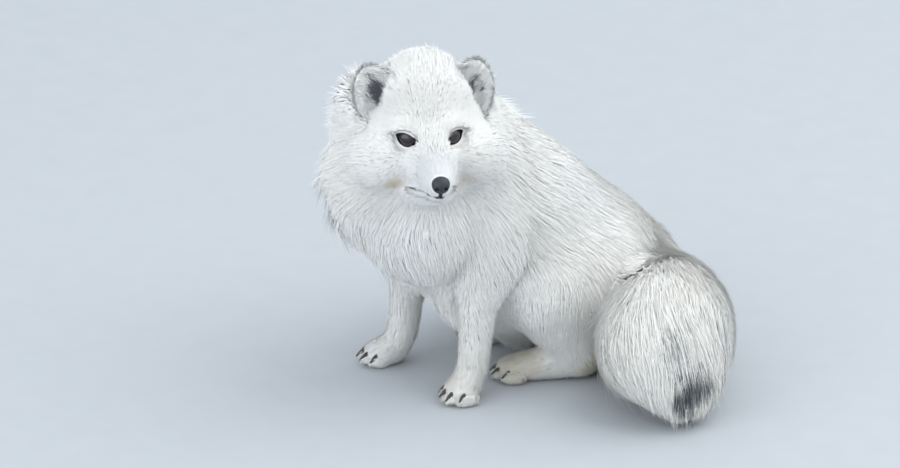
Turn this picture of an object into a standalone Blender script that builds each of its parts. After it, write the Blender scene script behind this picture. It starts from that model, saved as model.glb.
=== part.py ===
"""Arctic fox in its white winter coat, sitting, with its head turned to its left: a still, life-size model.

The body faces -Y, the fox's left side is +X and the floor is Z = 0. The coat's outer form is built from tapered
lofts and rounded masses, fused into one skin, and then parted into named pieces by thin cuts. Sizes are in
millimetres and are turned to metres where the meshes are made.
"""

import math

import bmesh
import bpy
import numpy as np
from mathutils import Matrix, Vector

MM = 0.001
UP = Vector((0, 0, 1))
FRONT = Vector((0, -1, 0))

# Driving dimensions, in millimetres.
EYE_MIDDLE = Vector((68.0, -178.5, 305.5))   # midway between the eye openings
HEAD_TURN = math.radians(59)                 # from straight ahead towards the fox's left
EYE_SPREAD = 20.0          # half the distance between the eyeballs' centres
EYE_RADIUS = 12.0
EYE_BACK = 11.0            # the eyeballs' centres lie this far behind the eye line
EYE_SINK = 1.7             # and this far below it
EYE_SPLAY = math.radians(27.5)   # the eyes look this far to the side of straight ahead
LID_SLANT = math.radians(18)   # the outer corner of the lids is the higher one
LID_WIDTH = 24.0
LID_HEIGHT = 13.4
NOSE_REACH = 75.0          # from the eye line to the tip of the nose
NOSE_DROP = 26.0           # from the eye line down to the middle of the nose
EAR_TIP = (-62, 56.5, 61)  # forward, outward and up from the eye line
EAR_FOOT = (-37, 49, 13)
EAR_HALF_WIDTH = 25.0
PART_GAP = 0.6             # width of the cuts between pieces
VOXEL = 4.0
BODY_TRIANGLES = 2750
TAIL_TRIANGLES = 520

# The head's own axes: forward, to the fox's left, and up.
HEAD_FORWARD = Vector((math.sin(HEAD_TURN), -math.cos(HEAD_TURN), 0))
HEAD_LEFT = Vector((math.cos(HEAD_TURN), math.sin(HEAD_TURN), 0))
HEAD_AXES = Matrix((HEAD_FORWARD, HEAD_LEFT, UP)).transposed()

COLOURS = {
    "coat": ((0.80, 0.82, 0.82), 0.75),
    "pad": ((0.012, 0.012, 0.016), 0.45),
    "eye": ((0.012, 0.008, 0.008), 0.08),
    "claw": ((0.03, 0.027, 0.027), 0.4),
}


def head(forward, left, up):
    """A point given on the head's axes, from the middle of the eye line."""
    return EYE_MIDDLE + HEAD_AXES @ Vector((forward, left, up))


def clear_scene():
    for thing in list(bpy.data.objects):
        bpy.data.objects.remove(thing, do_unlink=True)


def new_object(name, mesh):
    made = bpy.data.objects.new(name, mesh)
    bpy.context.scene.collection.objects.link(made)
    return made


def mesh_of(name, bm):
    bmesh.ops.recalc_face_normals(bm, faces=bm.faces)
    mesh = bpy.data.meshes.new(name)
    bm.to_mesh(mesh)
    bm.free()
    return mesh


def both_sides(build):
    for side in (1, -1):
        build(side)


# ---------------------------------------------------------------- building blocks of the forms

def smooth_path(stations, steps):
    """Catmull-Rom through the stations' numbers, with this many steps between neighbours."""
    rows = np.array([[*centre, side, rise] for centre, side, rise in stations], float)
    rows = np.vstack([2 * rows[0] - rows[1], rows, 2 * rows[-1] - rows[-2]])
    found = []
    for i in range(1, len(rows) - 2):
        a, b, c, d = rows[i - 1:i + 3]
        for k in range(steps):
            t = k / steps
            found.append(0.5 * (2 * b + (c - a) * t + (2 * a - 5 * b + 4 * c - d) * t ** 2
                                + (3 * b - a - 3 * c + d) * t ** 3))
    found.append(rows[-2])
    return np.array(found)


def skinned(bm, loops, poles):
    """Faces along a row of closed loops of corners, each end closed onto its pole."""
    sides = len(loops[0])
    for lower, upper in zip(loops, loops[1:]):
        for s in range(sides):
            t = (s + 1) % sides
            bm.faces.new((lower[s], lower[t], upper[t], upper[s]))
    for loop, pole in ((loops[0], poles[0]), (loops[-1], poles[1])):
        tip = bm.verts.new(pole * MM)
        for s in range(sides):
            bm.faces.new((loop[s], tip, loop[(s + 1) % sides]))


def loft(bm, stations, reference=UP, sides=22, steps=5, cap=1.0):
    """A closed tapered tube with rounded ends. A station is (centre, half width, half height)."""
    rows = smooth_path(stations, steps)
    centres, radii = rows[:, :3], rows[:, 3:]
    tangents = np.gradient(centres, axis=0)
    rings = []
    for k, (centre, (side, rise)) in enumerate(zip(centres, radii)):
        tangent = Vector(tangents[k]).normalized()
        across = tangent.cross(reference).normalized()
        over = across.cross(tangent)
        rings.append((Vector(centre), tangent, across * side, over * rise))
    ends = []
    poles = []
    for (centre, tangent, across, over), sign in ((rings[0], -1), (rings[-1], 1)):
        reach = cap * min(across.length, over.length)
        ends.append([(centre + tangent * sign * reach * math.sin(turn), tangent,
                      across * math.cos(turn), over * math.cos(turn)) for turn in (0.5, 1.0, 1.35)])
        poles.append(centre + tangent * sign * reach)
    loops = []
    for centre, _, across, over in ends[0][::-1] + rings + ends[1]:
        turns = [2 * math.pi * s / sides for s in range(sides)]
        loops.append([bm.verts.new((centre + across * math.cos(a) + over * math.sin(a)) * MM) for a in turns])
    skinned(bm, loops, poles)


def ball(bm, centre, sizes, axes=Matrix.Identity(3), segments=28):
    """A rounded mass with these half sizes along the given axes."""
    shape = Matrix.Translation(centre * MM) @ axes.to_4x4() @ Matrix.Diagonal((*(Vector(sizes) * MM), 1))
    bmesh.ops.create_uvsphere(bm, u_segments=segments, v_segments=segments * 2 // 3, radius=1, matrix=shape)


# ---------------------------------------------------------------- masses of the coat's outer form

def trunk_masses(bm):
    loft(bm, [
        (Vector((0, -146, 200)), 56, 62),
        (Vector((0, -120, 202)), 76, 84),
        (Vector((0, -75, 195)), 84, 96),
        (Vector((0, -15, 162)), 88, 86),
        (Vector((0, 42, 117)), 92, 79),
        (Vector((0, 94, 76)), 92, 81),
        (Vector((0, 134, 58)), 79, 66),
    ], cap=0.9)
    loft(bm, [
        (Vector((8, -62, 94)), 58, 50),
        (Vector((0, -20, 82)), 62, 54),
        (Vector((0, 40, 68)), 78, 60),
    ])


def neck_masses(bm):
    loft(bm, [
        (Vector((0, -76, 212)), 80, 84),
        (Vector((-6, -98, 246)), 82, 80),
        (head(-84, -2, -30), 78, 66),
    ], cap=0.75)
    ball(bm, head(-76, -10, -13), (50, 84, 61), HEAD_AXES)
    both_sides(lambda side: ball(bm, head(-72, 58 * side - 4, 16), (36, 26, 35), HEAD_AXES))
    ball(bm, head(-58, 0, -62), (50, 107, 76), HEAD_AXES)
    ball(bm, head(-74, 0, -98), (58, 94, 68), HEAD_AXES)
    ball(bm, Vector((6, -144, 193)), (73, 62, 74))


def thigh_masses(bm):
    for side in (1, -1):
        hock, knee = HOCKS[side], KNEES[side]
        loft(bm, [
            (Vector((48 * side, 86, 88)), 54, 64),
            (Vector((66 * side, 38, 94)), 56, 65),
            (knee + Vector((0, 26, 4)), 44, 52),
            (knee, 33, 39),
        ])
        loft(bm, [
            (knee + Vector((0, 6, -14)), 29, 31),
            (hock.lerp(knee, 0.5), 25, 29),
            (hock + Vector((0, 2, 3)), 23, 25),
        ])


def head_masses(bm):
    ball(bm, head(-54, 0, 8), (52, 62, 68), HEAD_AXES)
    both_sides(lambda side: ball(bm, head(-50, 28 * side, 30), (36, 33, 42), HEAD_AXES))
    ball(bm, head(-36, 0, 2), (38, 60, 38), HEAD_AXES)
    loft(bm, [
        (head(64, 0, -28), 12, 13),
        (head(52, 0, -28), 16, 17),
        (head(34, 0, -27), 20, 20),
        (head(14, 0, -25), 26, 24),
        (head(-12, 0, -18), 46, 36),
    ], cap=0.6)
    loft(bm, [
        (head(57, 0, -46), 8.5, 6),
        (head(34, 0, -48), 16, 10),
        (head(6, 0, -51), 29, 19),
        (head(-22, 0, -50), 44, 31),
    ])
    both_sides(lambda side: ball(bm, head(-30, 42 * side, -28), (42, 40, 36), HEAD_AXES))
    both_sides(lambda side: ball(bm, head(-12, 21 * side, 10), (19, 20, 12), HEAD_AXES))


# Forearm, wrist, paw and toes of the fox's left and right forelegs.
FORE_FEET = {1: (Vector((62, -113, 72)), Vector((62, -117, 34)), Vector((62, -124, 14)), Vector((60, -139, 11))),
             -1: (Vector((-57, -107, 72)), Vector((-60, -110, 32)), Vector((-66, -116, 14)),
                  Vector((-74, -136, 11)))}


def foreleg_masses(bm):
    for side, (forearm, wrist, paw, toes) in FORE_FEET.items():
        loft(bm, [
            (Vector((58 * side, -84, 190)), 34, 50),
            (Vector((59 * side, -94, 140)), 30, 38),
            (forearm + Vector((0, 3, 32)), 19, 23),
            (forearm, 16.5, 17.5),
            (wrist, 15.5, 16.5),
            (wrist.lerp(paw, 0.8), 16.5, 16),
        ], reference=FRONT)
        loft(bm, [
            (paw, 18, 16.5),
            (paw.lerp(toes, 0.6), 20.5, 15.5),
            (toes, 19, 13.5),
        ], cap=0.9)
    ball(bm, Vector((28, -104, 94)), (34, 20, 33))
    ball(bm, Vector((-36, -104, 106)), (22, 18, 26))


# Knee, hock and toes of the fox's left and right hind legs, folded beside the belly.
KNEES = {1: Vector((76, -40, 92)), -1: Vector((-78, -20, 90))}
HOCKS = {1: Vector((92, 8, 23)), -1: Vector((-84, 56, 23))}
HIND_TOES = {1: Vector((50, -50, 12)), -1: Vector((-58, -4, 12))}


def hind_foot_masses(bm):
    for side in (1, -1):
        hock, toes = HOCKS[side], HIND_TOES[side]
        along = (toes - hock).normalized()
        loft(bm, [
            (hock, 22, 22),
            (hock.lerp(toes, 0.55), 18, 18),
            (toes, 20, 14),
            (toes + along * 12, 18, 12),
        ], cap=0.8)


def tail_masses(bm):
    loft(bm, [
        (Vector((14, 128, 46)), 42, 42),
        (Vector((62, 130, 50)), 48, 52),
        (Vector((116, 100, 59)), 60, 61),
        (Vector((174, 52, 68)), 69, 70),
        (Vector((213, 12, 68)), 71, 70),
        (Vector((244, 5, 50)), 60, 50),
        (Vector((260, 3, 27)), 36, 28),
    ], cap=0.8)


def fused(name, soft_builders, firm_builders, triangles):
    """The masses as one closed skin, thinned to about this many triangles. The soft masses melt together first."""
    mesh = None
    for builders, smoothing in ((soft_builders, 24), (firm_builders, 4)):
        if not builders:
            continue
        bm = bmesh.new()
        if mesh:
            bm.from_mesh(mesh)
        for build in builders:
            build(bm)
        form = new_object(name, mesh_of(name, bm))
        remesh = form.modifiers.new("fuse", "REMESH")
        remesh.mode = "VOXEL"
        remesh.voxel_size = VOXEL * MM
        soften = form.modifiers.new("soften", "SMOOTH")
        soften.factor = 0.5
        soften.iterations = smoothing
        mesh = settled(form)
        bpy.data.objects.remove(form, do_unlink=True)
    form = new_object(name, mesh)
    thin = form.modifiers.new("thin", "DECIMATE")
    thin.ratio = min(1.0, triangles / (2 * len(mesh.polygons)))
    mesh = settled(form)
    bpy.data.objects.remove(form, do_unlink=True)
    return mesh


def settled(obj):
    """The object's mesh as its modifiers leave it, with flat faces of three corners."""
    bpy.context.view_layer.update()
    graph = bpy.context.evaluated_depsgraph_get()
    return bpy.data.meshes.new_from_object(obj.evaluated_get(graph))


# ---------------------------------------------------------------- cutting

def combined(mesh, cutters, operation):
    """The mesh cut by, or kept within, each of the cutter meshes in turn."""
    work = new_object("work", mesh)
    helpers = []
    for cutter in cutters:
        helper = new_object("cutter", cutter)
        step = work.modifiers.new("cut", "BOOLEAN")
        step.operation = operation
        step.object = helper
        helpers.append(helper)
    made = settled(work)
    for obj in [work, *helpers]:
        bpy.data.objects.remove(obj, do_unlink=True)
    return made


def main_body(mesh):
    """The mesh without the crumbs that a cut leaves loose."""
    bm = bmesh.new()
    bm.from_mesh(mesh)
    left = set(bm.verts)
    bodies = []
    while left:
        found = {left.pop()}
        edge = list(found)
        while edge:
            near = {other for link in edge.pop().link_edges for other in link.verts} & left
            left -= near
            found |= near
            edge += near
        bodies.append(found)
    largest = max(bodies, key=lambda body: sum(f.calc_area() for f in {f for v in body for f in v.link_faces}))
    bmesh.ops.delete(bm, geom=[v for body in bodies if body is not largest for v in body], context="VERTS")
    bm.to_mesh(mesh)
    bm.free()
    return mesh


def grown(mesh, distance):
    """A copy of the mesh with its surface moved out by this many millimetres."""
    bm = bmesh.new()
    bm.from_mesh(mesh)
    bmesh.ops.recalc_face_normals(bm, faces=bm.faces)
    moves = [v.normal * distance * MM for v in bm.verts]
    for vertex, move in zip(bm.verts, moves):
        vertex.co += move
    return mesh_of(mesh.name, bm)


def region_ball(centre, sizes, axes=Matrix.Identity(3), segments=14):
    """Makes the cutter for a rounded region, its surface moved out by the distance it is given."""
    def cutter(more):
        bm = bmesh.new()
        ball(bm, centre, [s + more for s in sizes], axes, segments)
        return mesh_of("region", bm)
    return cutter


def region_block(centre, sizes, axes=Matrix.Identity(3)):
    """Makes the cutter for a boxed region, its faces moved out by the distance it is given."""
    def cutter(more):
        bm = bmesh.new()
        shape = (Matrix.Translation(Vector(centre) * MM) @ axes.to_4x4()
                 @ Matrix.Diagonal((*[2 * (s + more) * MM for s in sizes], 1)))
        bmesh.ops.create_cube(bm, size=1, matrix=shape)
        return mesh_of("region", bm)
    return cutter


def facing(direction, side=UP):
    """Axes whose first one points along the direction."""
    first = Vector(direction).normalized()
    second = side.cross(first).normalized()
    return Matrix((first, second, first.cross(second))).transposed()


def parted(mesh, region):
    """(what lies in the region, what lies outside it), with the gap between them."""
    inside = combined(mesh.copy(), [region(-PART_GAP / 2)], "INTERSECT")
    outside = combined(mesh.copy(), [region(PART_GAP / 2)], "DIFFERENCE")
    return inside, outside


# ---------------------------------------------------------------- small pieces

def nose_mesh():
    """The nose's leather pad: broad above, narrower below, with a nostril at each side."""
    bm = bmesh.new()
    ball(bm, head(NOSE_REACH - 7, 0, -NOSE_DROP), (7.4, 9.6, 9), HEAD_AXES, segments=18)
    ball(bm, head(NOSE_REACH - 9, 0, -NOSE_DROP + 4), (8, 9.8, 5), HEAD_AXES, segments=14)
    pad = new_object("pad", mesh_of("pad", bm))
    fuse = pad.modifiers.new("fuse", "REMESH")
    fuse.mode = "VOXEL"
    fuse.voxel_size = 1.6 * MM
    thin = pad.modifiers.new("thin", "DECIMATE")
    thin.ratio = 0.09
    mesh = settled(pad)
    bpy.data.objects.remove(pad, do_unlink=True)
    nostrils = [region_ball(head(NOSE_REACH - 2.5, 5.2 * side, -NOSE_DROP - 1), (3.4, 1.9, 2.0), HEAD_AXES, 8)(0)
                for side in (1, -1)]
    return combined(mesh, nostrils, "DIFFERENCE")


def eye_mesh(side):
    bm = bmesh.new()
    ball(bm, head(-EYE_BACK, EYE_SPREAD * side, -EYE_SINK), (EYE_RADIUS,) * 3, HEAD_AXES, segments=14)
    return mesh_of("eye", bm)


def lid_opening(side):
    """The almond between the lids, facing forward and outward, its outer corner the higher one."""
    gaze = HEAD_AXES @ Vector((math.cos(EYE_SPLAY), side * math.sin(EYE_SPLAY), 0))
    level = UP.cross(gaze) * side
    corner = (level * math.cos(LID_SLANT) + UP * math.sin(LID_SLANT)).normalized()
    axes = Matrix((gaze, corner, gaze.cross(corner))).transposed()
    centre = head(-EYE_BACK, EYE_SPREAD * side, -EYE_SINK) + gaze * (EYE_RADIUS + 2)
    return region_ball(centre, (9, LID_WIDTH / 2, LID_HEIGHT / 2), axes, 12)(0)


def ear_stance(side):
    """The ear's foot and tip, and its axes: up the ear, outward and back, all on the head's axes."""
    foot = Vector((EAR_FOOT[0], EAR_FOOT[1] * side, EAR_FOOT[2]))
    tip = Vector((EAR_TIP[0], EAR_TIP[1] * side, EAR_TIP[2]))
    rise = (tip - foot).normalized()
    outward = Vector((-0.25, side, 0))
    outward = (outward - outward.dot(rise) * rise).normalized()
    return foot, tip, rise, outward, rise.cross(outward) * side


def ear_opening(side):
    """The space in front of the ear's cup, kept free of the head's fur."""
    foot, tip, rise, outward, back = ear_stance(side)
    centre = foot.lerp(tip, 0.54) - back * 4
    axes = HEAD_AXES @ Matrix((back, outward, rise)).transposed()
    return region_ball(EYE_MIDDLE + HEAD_AXES @ centre, (19, EAR_HALF_WIDTH - 3, 26), axes, 12)(0)


def ear_mesh(side, rows=8, across=9):
    """A cupped ear: a rounded leaf with thick rims, hollow in front, its foot sunk in the head."""
    foot, tip, rise, outward, back = ear_stance(side)
    length = (tip - foot).length
    bm = bmesh.new()
    loops = []
    for r in range(rows):
        t = math.sin(math.pi / 2 * (r + 0.2) / rows)
        width = EAR_HALF_WIDTH * math.sqrt(1 - t ** 3.2) * min(1, 0.74 + 0.7 * t)
        depth = 16 * math.sqrt(1 - t ** 2) + 1.5
        wall = 5.5 * (1 - 0.4 * t)
        centre = foot + rise * length * t
        turns = [math.pi * k / (across - 1) for k in range(across)]
        loop = [centre + outward * width * math.cos(a) + back * depth * math.sin(a) for a in turns]
        loop += [centre + outward * (width - wall * 0.5) * math.cos(a)
                 + back * ((depth - wall) * math.sin(a) - 2.5) for a in reversed(turns)]
        loops.append([bm.verts.new((EYE_MIDDLE + HEAD_AXES @ point) * MM) for point in loop])
    ends = [EYE_MIDDLE + HEAD_AXES @ (foot + back * 4), EYE_MIDDLE + HEAD_AXES @ (tip + back * 1)]
    skinned(bm, loops, ends)
    return mesh_of("ear", bm)


def claw_mesh(root, direction, length, thickness):
    """A short curved claw that bends down to its point, its root sunk in the toe."""
    direction = Vector(direction).normalized()
    across = direction.cross(UP).normalized()
    bm = bmesh.new()
    loops = []
    for t in (0.0, 0.4, 0.75):
        centre = Vector(root) + direction * length * t - UP * length * 0.42 * t ** 2
        size = thickness * (1 - 0.62 * t)
        loops.append([bm.verts.new((centre + across * size * math.cos(a) + UP * size * 1.25 * math.sin(a)) * MM)
                      for a in [math.tau * s / 5 for s in range(5)]])
    point = Vector(root) + direction * length - UP * length * 0.42
    skinned(bm, loops, (Vector(root) - direction * 0.5, point))
    return mesh_of("claw", bm)


# Where each foot's claws stand: the middle toes' front, and the way the toes point.
FEET = {
    "forepaw_left": (Vector((60.5, -150, 10)), Vector((-0.08, -1, 0))),
    "forepaw_right": (Vector((-79, -147, 10)), Vector((-0.34, -1, 0))),
    "hindpaw_left": (Vector((41, -67, 10)), Vector((-0.58, -0.8, 0))),
    "hindpaw_right": (Vector((-48, -26, 10)), Vector((0.4, -0.92, 0))),
}


def claws():
    found = {}
    for foot, (front, way) in FEET.items():
        way = way.normalized()
        across = Vector((-way.y, way.x, 0))
        for number, (aside, behind) in enumerate(((-14.5, 8.5), (-5.2, 0.5), (5.2, 0.5), (14.5, 8.5)), 1):
            root = front + across * aside - way * (behind + 4) + UP * 1.5
            splay = (way + across * aside * 0.018).normalized()
            found[f"claw_{foot}_{number}"] = claw_mesh(root, splay, 10.5, 2.3)
    return found


# ---------------------------------------------------------------- the parting into pieces

HEAD_REGION = region_ball(head(0, 0, 3), (100, 88, 86), HEAD_AXES)
NECK_REGION = region_block((2, -200, 312), (130, 200, 200), facing((0.24, -0.72, 0.65)))


def leg_regions(side):
    """The foreleg, its paw, the hind leg and its paw, as regions of the body on one side."""
    way = FEET["hindpaw_left" if side > 0 else "hindpaw_right"][1]
    hock, knee = HOCKS[side], KNEES[side]
    foot = hock.lerp(HIND_TOES[side], 0.8)
    return {
        "forepaw": region_block((68 * side, -128, 4), (44, 44, 22)),
        "foreleg": region_block((66 * side, -122, 68), (40, 42, 52)),
        "hindpaw": region_block(foot + way.normalized() * 40, (40, 27, 18), facing(way)),
        "hindleg": region_ball(Vector((88 * side, knee.y + 44, 68)), (66, 112, 100)),
    }


def finish(name, mesh, kind):
    made = new_object(name, mesh)
    bm = bmesh.new()
    bm.from_mesh(mesh)
    bmesh.ops.triangulate(bm, faces=bm.faces)
    bm.to_mesh(mesh)
    bm.free()
    colour, roughness = COLOURS[kind]
    material = bpy.data.materials.new(name)
    material.use_nodes = True
    shader = material.node_tree.nodes["Principled BSDF"]
    shader.inputs["Base Color"].default_value = (*colour, 1)
    shader.inputs["Roughness"].default_value = roughness
    mesh.materials.clear()
    mesh.materials.append(material)
    mesh.shade_smooth()
    mesh.set_sharp_from_angle(angle=math.radians(50))
    return made


def main():
    clear_scene()
    floor = region_block((0, 0, -200), (600, 600, 200))
    tail = combined(fused("tail", (tail_masses,), (), TAIL_TRIANGLES), [floor(0)], "DIFFERENCE")
    body = fused("body", (trunk_masses, neck_masses, thigh_masses), (head_masses, foreleg_masses, hind_foot_masses),
                 BODY_TRIANGLES)
    body = combined(body, [floor(0), grown(tail, PART_GAP)], "DIFFERENCE")

    coat = {}
    coat["head"], body = parted(body, HEAD_REGION)
    coat["neck"], body = parted(body, NECK_REGION)
    for side, hand in ((1, "left"), (-1, "right")):
        for part, region in leg_regions(side).items():
            coat[f"{part}_{hand}"], body = parted(body, region)
    coat["trunk"] = body
    coat["tail"] = tail

    # Eyes sit in sockets of the head. Ears, nose and claws stand on the coat's surface.
    eyes = {"eye_left": eye_mesh(1), "eye_right": eye_mesh(-1)}
    sockets = [*(grown(eye, PART_GAP) for eye in eyes.values()), lid_opening(1), lid_opening(-1)]
    hollows = [ear_opening(1), ear_opening(-1)]
    coat["head"] = main_body(combined(coat["head"], [*sockets, *hollows], "DIFFERENCE"))
    coat["neck"] = main_body(combined(coat["neck"], hollows, "DIFFERENCE"))
    around_ear = [grown(coat["head"], PART_GAP), grown(coat["neck"], PART_GAP)]
    ears = {name: main_body(combined(ear_mesh(side), around_ear, "DIFFERENCE"))
            for name, side in (("ear_left", 1), ("ear_right", -1))}
    nose = combined(nose_mesh(), [grown(coat["head"], PART_GAP)], "DIFFERENCE")
    nails = {name: combined(nail, [grown(coat[name[5:-2]], PART_GAP / 2)], "DIFFERENCE")
             for name, nail in claws().items()}

    pieces = [finish(name, mesh, "coat") for name, mesh in [*coat.items(), *ears.items()]]
    pieces += [finish(name, mesh, "eye") for name, mesh in eyes.items()]
    pieces.append(finish("nose", nose, "pad"))
    pieces += [finish(name, mesh, "claw") for name, mesh in nails.items()]

    # The origin is the middle of the whole model's footprint, on the floor.
    corners = np.array([vertex.co for piece in pieces for vertex in piece.data.vertices])
    low, high = corners.min(axis=0), corners.max(axis=0)
    middle = Vector(((low[0] + high[0]) / 2, (low[1] + high[1]) / 2, low[2]))
    for piece in pieces:
        piece.data.transform(Matrix.Translation(-middle))


if __name__ == "__main__":
    main()
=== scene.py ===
import math

import bmesh
import bpy
import numpy as np
from mathutils import Matrix, Vector
from mathutils.bvhtree import BVHTree
from mathutils.kdtree import KDTree


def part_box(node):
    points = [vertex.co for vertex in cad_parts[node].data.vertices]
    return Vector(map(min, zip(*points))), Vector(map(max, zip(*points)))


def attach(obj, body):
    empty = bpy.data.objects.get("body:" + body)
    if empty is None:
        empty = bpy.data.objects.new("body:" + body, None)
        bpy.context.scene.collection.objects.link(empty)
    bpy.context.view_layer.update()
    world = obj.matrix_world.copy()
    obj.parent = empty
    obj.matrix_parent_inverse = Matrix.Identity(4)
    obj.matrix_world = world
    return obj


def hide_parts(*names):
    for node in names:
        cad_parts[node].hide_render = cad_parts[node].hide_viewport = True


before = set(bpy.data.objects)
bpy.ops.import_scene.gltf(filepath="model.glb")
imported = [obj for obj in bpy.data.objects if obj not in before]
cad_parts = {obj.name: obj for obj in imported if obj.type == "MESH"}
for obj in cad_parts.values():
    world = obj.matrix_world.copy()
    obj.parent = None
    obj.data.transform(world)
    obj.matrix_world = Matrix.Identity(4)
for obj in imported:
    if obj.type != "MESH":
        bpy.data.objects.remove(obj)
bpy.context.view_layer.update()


# ---------------------------------------------------------------- camera
# A long lens in front of the fox's left shoulder, looking a little down on it. The fox's own axes are found
# from its two eyes: body() takes millimetres on the body's axes, and face() takes millimetres ahead, left
# and up of the eyes.

HEAD_TURN = math.radians(59)
AHEAD = Vector((math.sin(HEAD_TURN), -math.cos(HEAD_TURN), 0))
LEFTWARD = Vector((math.cos(HEAD_TURN), math.sin(HEAD_TURN), 0))
UP = Vector((0, 0, 1))
MM = 0.001
HANDS = {"left": 1, "right": -1}
eye_centres = {hand: sum(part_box(f"eye_{hand}"), Vector()) / 2 for hand in HANDS}
EYE_LINE = (eye_centres["left"] + eye_centres["right"]) / 2 + (AHEAD * 11 + UP * 1.7) * MM
EYES_ON_BODY = Vector((68.0, -178.5, 305.5))      # the middle of the eye line on the body's axes


def body(x, y, z):
    return EYE_LINE + (Vector((x, y, z)) - EYES_ON_BODY) * MM


def face(ahead, left, up):
    return EYE_LINE + (AHEAD * ahead + LEFTWARD * left + UP * up) * MM


VIEW_AZIMUTH, VIEW_ELEVATION = math.radians(50), math.radians(22)
away = Vector((math.sin(VIEW_AZIMUTH) * math.cos(VIEW_ELEVATION),
               -math.cos(VIEW_AZIMUTH) * math.cos(VIEW_ELEVATION), math.sin(VIEW_ELEVATION)))
camera = bpy.data.objects.new("camera", bpy.data.cameras.new("camera"))
bpy.context.scene.collection.objects.link(camera)
camera.data.sensor_width = 36
camera.data.lens = 461.5
camera.data.clip_end = 100
camera.location = body(-82.3, -26.6, 113.7) + away * 12
camera.rotation_euler = away.to_track_quat("Z", "Y").to_euler()
bpy.context.scene.camera = camera


# ---------------------------------------------------------------- the lie of the coat
# How the fur lies, place by place, as a groomer would note it: where, which way it runs, how thick the coat
# is over the skin, how long a tuft is and how wide, in millimetres, and how many tufts stand on a square
# centimetre.

GROOMING = []


def groom(region, place, runs, sizes):
    GROOMING.append((region, place, Vector(runs).normalized(), *sizes))


def groom_face(region, *rows):
    """Places on the head and their mirror images, with the run of the fur on the head's axes."""
    for place, runs, *sizes in rows:
        for side in ((1, -1) if place[1] else (1,)):
            way = AHEAD * runs[0] + LEFTWARD * runs[1] * side + UP * runs[2]
            groom(region, face(place[0], place[1] * side, place[2]), way, sizes)


def groom_body(region, *rows):
    """Places on the body and their mirror images. A region named with a star takes the side's name."""
    for place, runs, *sizes in rows:
        for hand, side in (HANDS.items() if place[0] else (("left", 1),)):
            groom(region.replace("*", hand), body(place[0] * side, place[1], place[2]),
                  (runs[0] * side, runs[1], runs[2]), sizes)


def groom_tail(region, *rows):
    """Places on the tail, which has no mirror image."""
    for place, runs, *sizes in rows:
        groom(region, body(*place), runs, sizes)


groom_face("face",
    ((62, 0, -15), (-1, 0, 0.25), 1.6, 4.0, 0.7, 380),
    ((60, 9, -22), (-1, 0.25, 0), 1.5, 4.0, 0.7, 380),
    ((36, 0, -6), (-1, 0, 0.3), 2.2, 5.5, 0.8, 320),
    ((12, 0, 4), (-0.8, 0, 0.6), 3.0, 7.0, 0.9, 260),
    ((44, 14, -24), (-1, 0.3, -0.1), 2.0, 5.0, 0.8, 320),
    ((46, 13, -38), (-0.9, 0.3, -0.35), 2.0, 5.5, 0.8, 320),
    ((22, 21, -26), (-0.95, 0.3, -0.15), 2.6, 7.0, 0.9, 280),
    ((52, 0, -50), (-0.7, 0, -0.7), 2.5, 7.0, 0.9, 280),
    ((30, 10, -56), (-0.8, 0.2, -0.5), 4.0, 11, 1.0, 200),
    ((6, 12, 12), (-0.7, 0.25, 0.7), 3.2, 8.0, 0.9, 240),
    ((0, 26, 14), (-0.6, 0.4, 0.7), 3.0, 8.0, 0.9, 240),
    ((4, 30, -14), (-0.75, 0.6, -0.25), 2.8, 8.0, 0.9, 240),
    ((-12, 42, 0), (-0.8, 0.6, 0), 4.0, 12, 1.0, 200),
    ((-4, 36, -28), (-0.65, 0.65, -0.4), 5.0, 15, 1.0, 180),
    ((12, 27, -44), (-0.75, 0.5, -0.45), 4.0, 12, 1.0, 200))
groom_face("cheeks",
    ((-20, 52, -20), (-0.6, 0.7, -0.35), 9.0, 24, 1.1, 120),
    ((-14, 44, -52), (-0.55, 0.6, -0.6), 10, 26, 1.1, 120),
    ((-38, 66, -44), (-0.45, 0.7, -0.55), 15, 36, 1.2, 85),
    ((-36, 62, -4), (-0.7, 0.65, -0.3), 11, 28, 1.2, 105))
groom_face("crown",
    ((-10, 0, 34), (-0.75, 0, 0.65), 4.5, 12, 1.0, 190),
    ((-14, 26, 26), (-0.8, 0.25, 0.5), 4.5, 12, 1.0, 190),
    ((-34, 0, 58), (-0.95, 0, 0.45), 7.0, 18, 1.0, 150),
    ((-58, 0, 68), (-0.98, 0, 0.3), 9.0, 22, 1.1, 120),
    ((-58, 30, 58), (-0.95, 0.2, 0.3), 9.0, 20, 1.1, 120),
    ((-34, 30, 42), (-0.9, 0.3, 0.4), 6.0, 14, 1.0, 160),
    ((-86, 0, 56), (-0.95, 0, -0.3), 14, 34, 1.2, 80),
    ((-78, 46, 40), (-0.9, 0.3, -0.35), 12, 30, 1.2, 85))
groom_face("throat",
    ((0, 0, -72), (-0.4, 0, -0.9), 12, 28, 1.2, 100),
    ((14, 0, -64), (-0.6, 0, -0.75), 7.0, 16, 1.1, 150),
    ((-30, 26, -86), (-0.3, 0.25, -0.95), 18, 42, 1.3, 70))
groom_face("ruff",
    ((-60, 88, -40), (-0.4, 0.65, -0.65), 20, 46, 1.3, 68),
    ((-62, 92, -80), (-0.3, 0.5, -0.8), 24, 54, 1.3, 62),
    ((-80, 72, 20), (-0.75, 0.55, -0.45), 18, 42, 1.3, 70),
    ((-70, 60, -130), (-0.2, 0.25, -0.95), 26, 56, 1.3, 60))

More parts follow.
